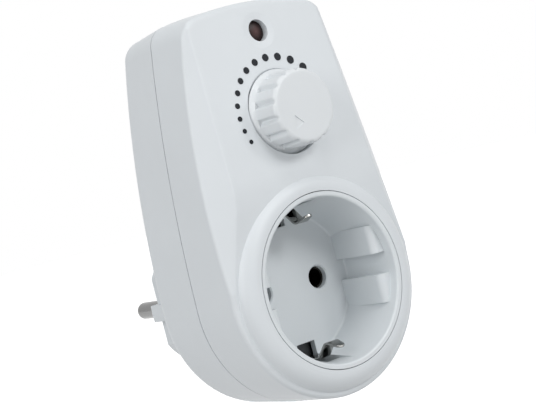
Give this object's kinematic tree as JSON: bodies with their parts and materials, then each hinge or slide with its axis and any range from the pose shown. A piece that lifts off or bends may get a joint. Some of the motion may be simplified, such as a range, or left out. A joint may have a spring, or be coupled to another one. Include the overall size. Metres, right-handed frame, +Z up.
{
  "type": "plug in dimmer",
  "caption": "Plug in dimmer: a white housing with a plug behind, an earthed socket in front, a rotary dial with a printed scale and an indicator lamp.",
  "frame": {"origin": "centre of the plug's end face, midway between the two pins where they leave it", "axes": "+Y along the pins into the wall, +Z up towards the dial, +X to the right seen from the room"},
  "size_m": [0.0598, 0.0826, 0.1039],
  "materials": {
    "housing": "smooth moulded white plastic",
    "insert": "smooth moulded white plastic",
    "knob": "smooth moulded white plastic",
    "print": "printed charcoal ink",
    "lens": "dark red clear plastic",
    "lamp": "clear glow lamp",
    "nickel": "nickel plated brass",
    "clip": "nickel plated spring strip",
    "brass": "stamped brass",
    "strap": "blackened steel strip",
    "contact": "darkened phosphor bronze",
    "steel": "zinc plated steel",
    "grey_plastic": "moulded grey plastic",
    "phenolic": "brown laminate",
    "carbon": "black moulding",
    "aluminium": "bare sheet",
    "ferrite": "powder core",
    "copper": "enamelled copper wire",
    "box_capacitor": "yellow box",
    "resistor": "beige lacquer",
    "diac": "blue lacquer",
    "fuse_glass": "clear tube",
    "wire_brown": "brown insulation",
    "wire_black": "black insulation",
    "wire_blue": "blue insulation"
  },
  "bodies": {
    "housing": {"front_shell": "housing", "rear_shell": "housing", "plug_body": "housing", "socket_insert": "insert", "socket_floor": "insert", "housing_screws": "steel", "indicator_lens": "lens", "indicator_lamp": "lamp", "scale_dots": "print", "pot_case": "steel", "pot_base": "phenolic", "pot_track": "carbon", "circuit_board": "phenolic", "board_screws": "steel", "triac": "carbon", "heat_sink": "aluminium", "heat_sink_screw": "steel", "choke_core": "ferrite", "choke_winding": "copper", "suppression_capacitor": "box_capacitor", "timing_capacitor": "box_capacitor", "resistors": "resistor", "diac": "diac", "fuse_glass": "fuse_glass", "fuse_caps": "nickel", "fuse_clips": "nickel", "board_terminals": "brass", "contact_sleeve_left": "contact", "contact_sleeve_right": "contact", "contact_chamber_left": "insert", "contact_chamber_right": "insert", "earth_strap": "strap", "earth_bar_upper": "nickel", "earth_bar_lower": "nickel", "neutral_link": "brass", "pin_retainer": "grey_plastic", "plug_pin_left": "nickel", "plug_pin_right": "nickel", "live_wire": "wire_brown", "load_wire": "wire_black", "neutral_wire": "wire_blue"},
    "dial": {"dial_knob": "knob", "dial_shaft": "grey_plastic", "pot_wiper": "brass"},
    "earth_clip_upper": {"earth_clip_upper": "clip"},
    "earth_clip_lower": {"earth_clip_lower": "clip"}
  },
  "joints": [
    {"name": "dial_turn", "type": "hinge", "parent": "housing", "child": "dial", "pos_m": [0, -0.058, 0.044], "axis": [0, 1, 0], "range_deg": [0, 270]},
    {"name": "earth_clip_upper_flex", "type": "hinge", "parent": "housing", "child": "earth_clip_upper", "pos_m": [0, -0.0382, 0.0195], "axis": [-1, 0, 0], "range_deg": [0, 7], "stiffness_Nm_per_rad": 0.5},
    {"name": "earth_clip_lower_flex", "type": "hinge", "parent": "housing", "child": "earth_clip_lower", "pos_m": [0, -0.0382, -0.0195], "axis": [1, 0, 0], "range_deg": [0, 7], "stiffness_Nm_per_rad": 0.5}
  ]
}
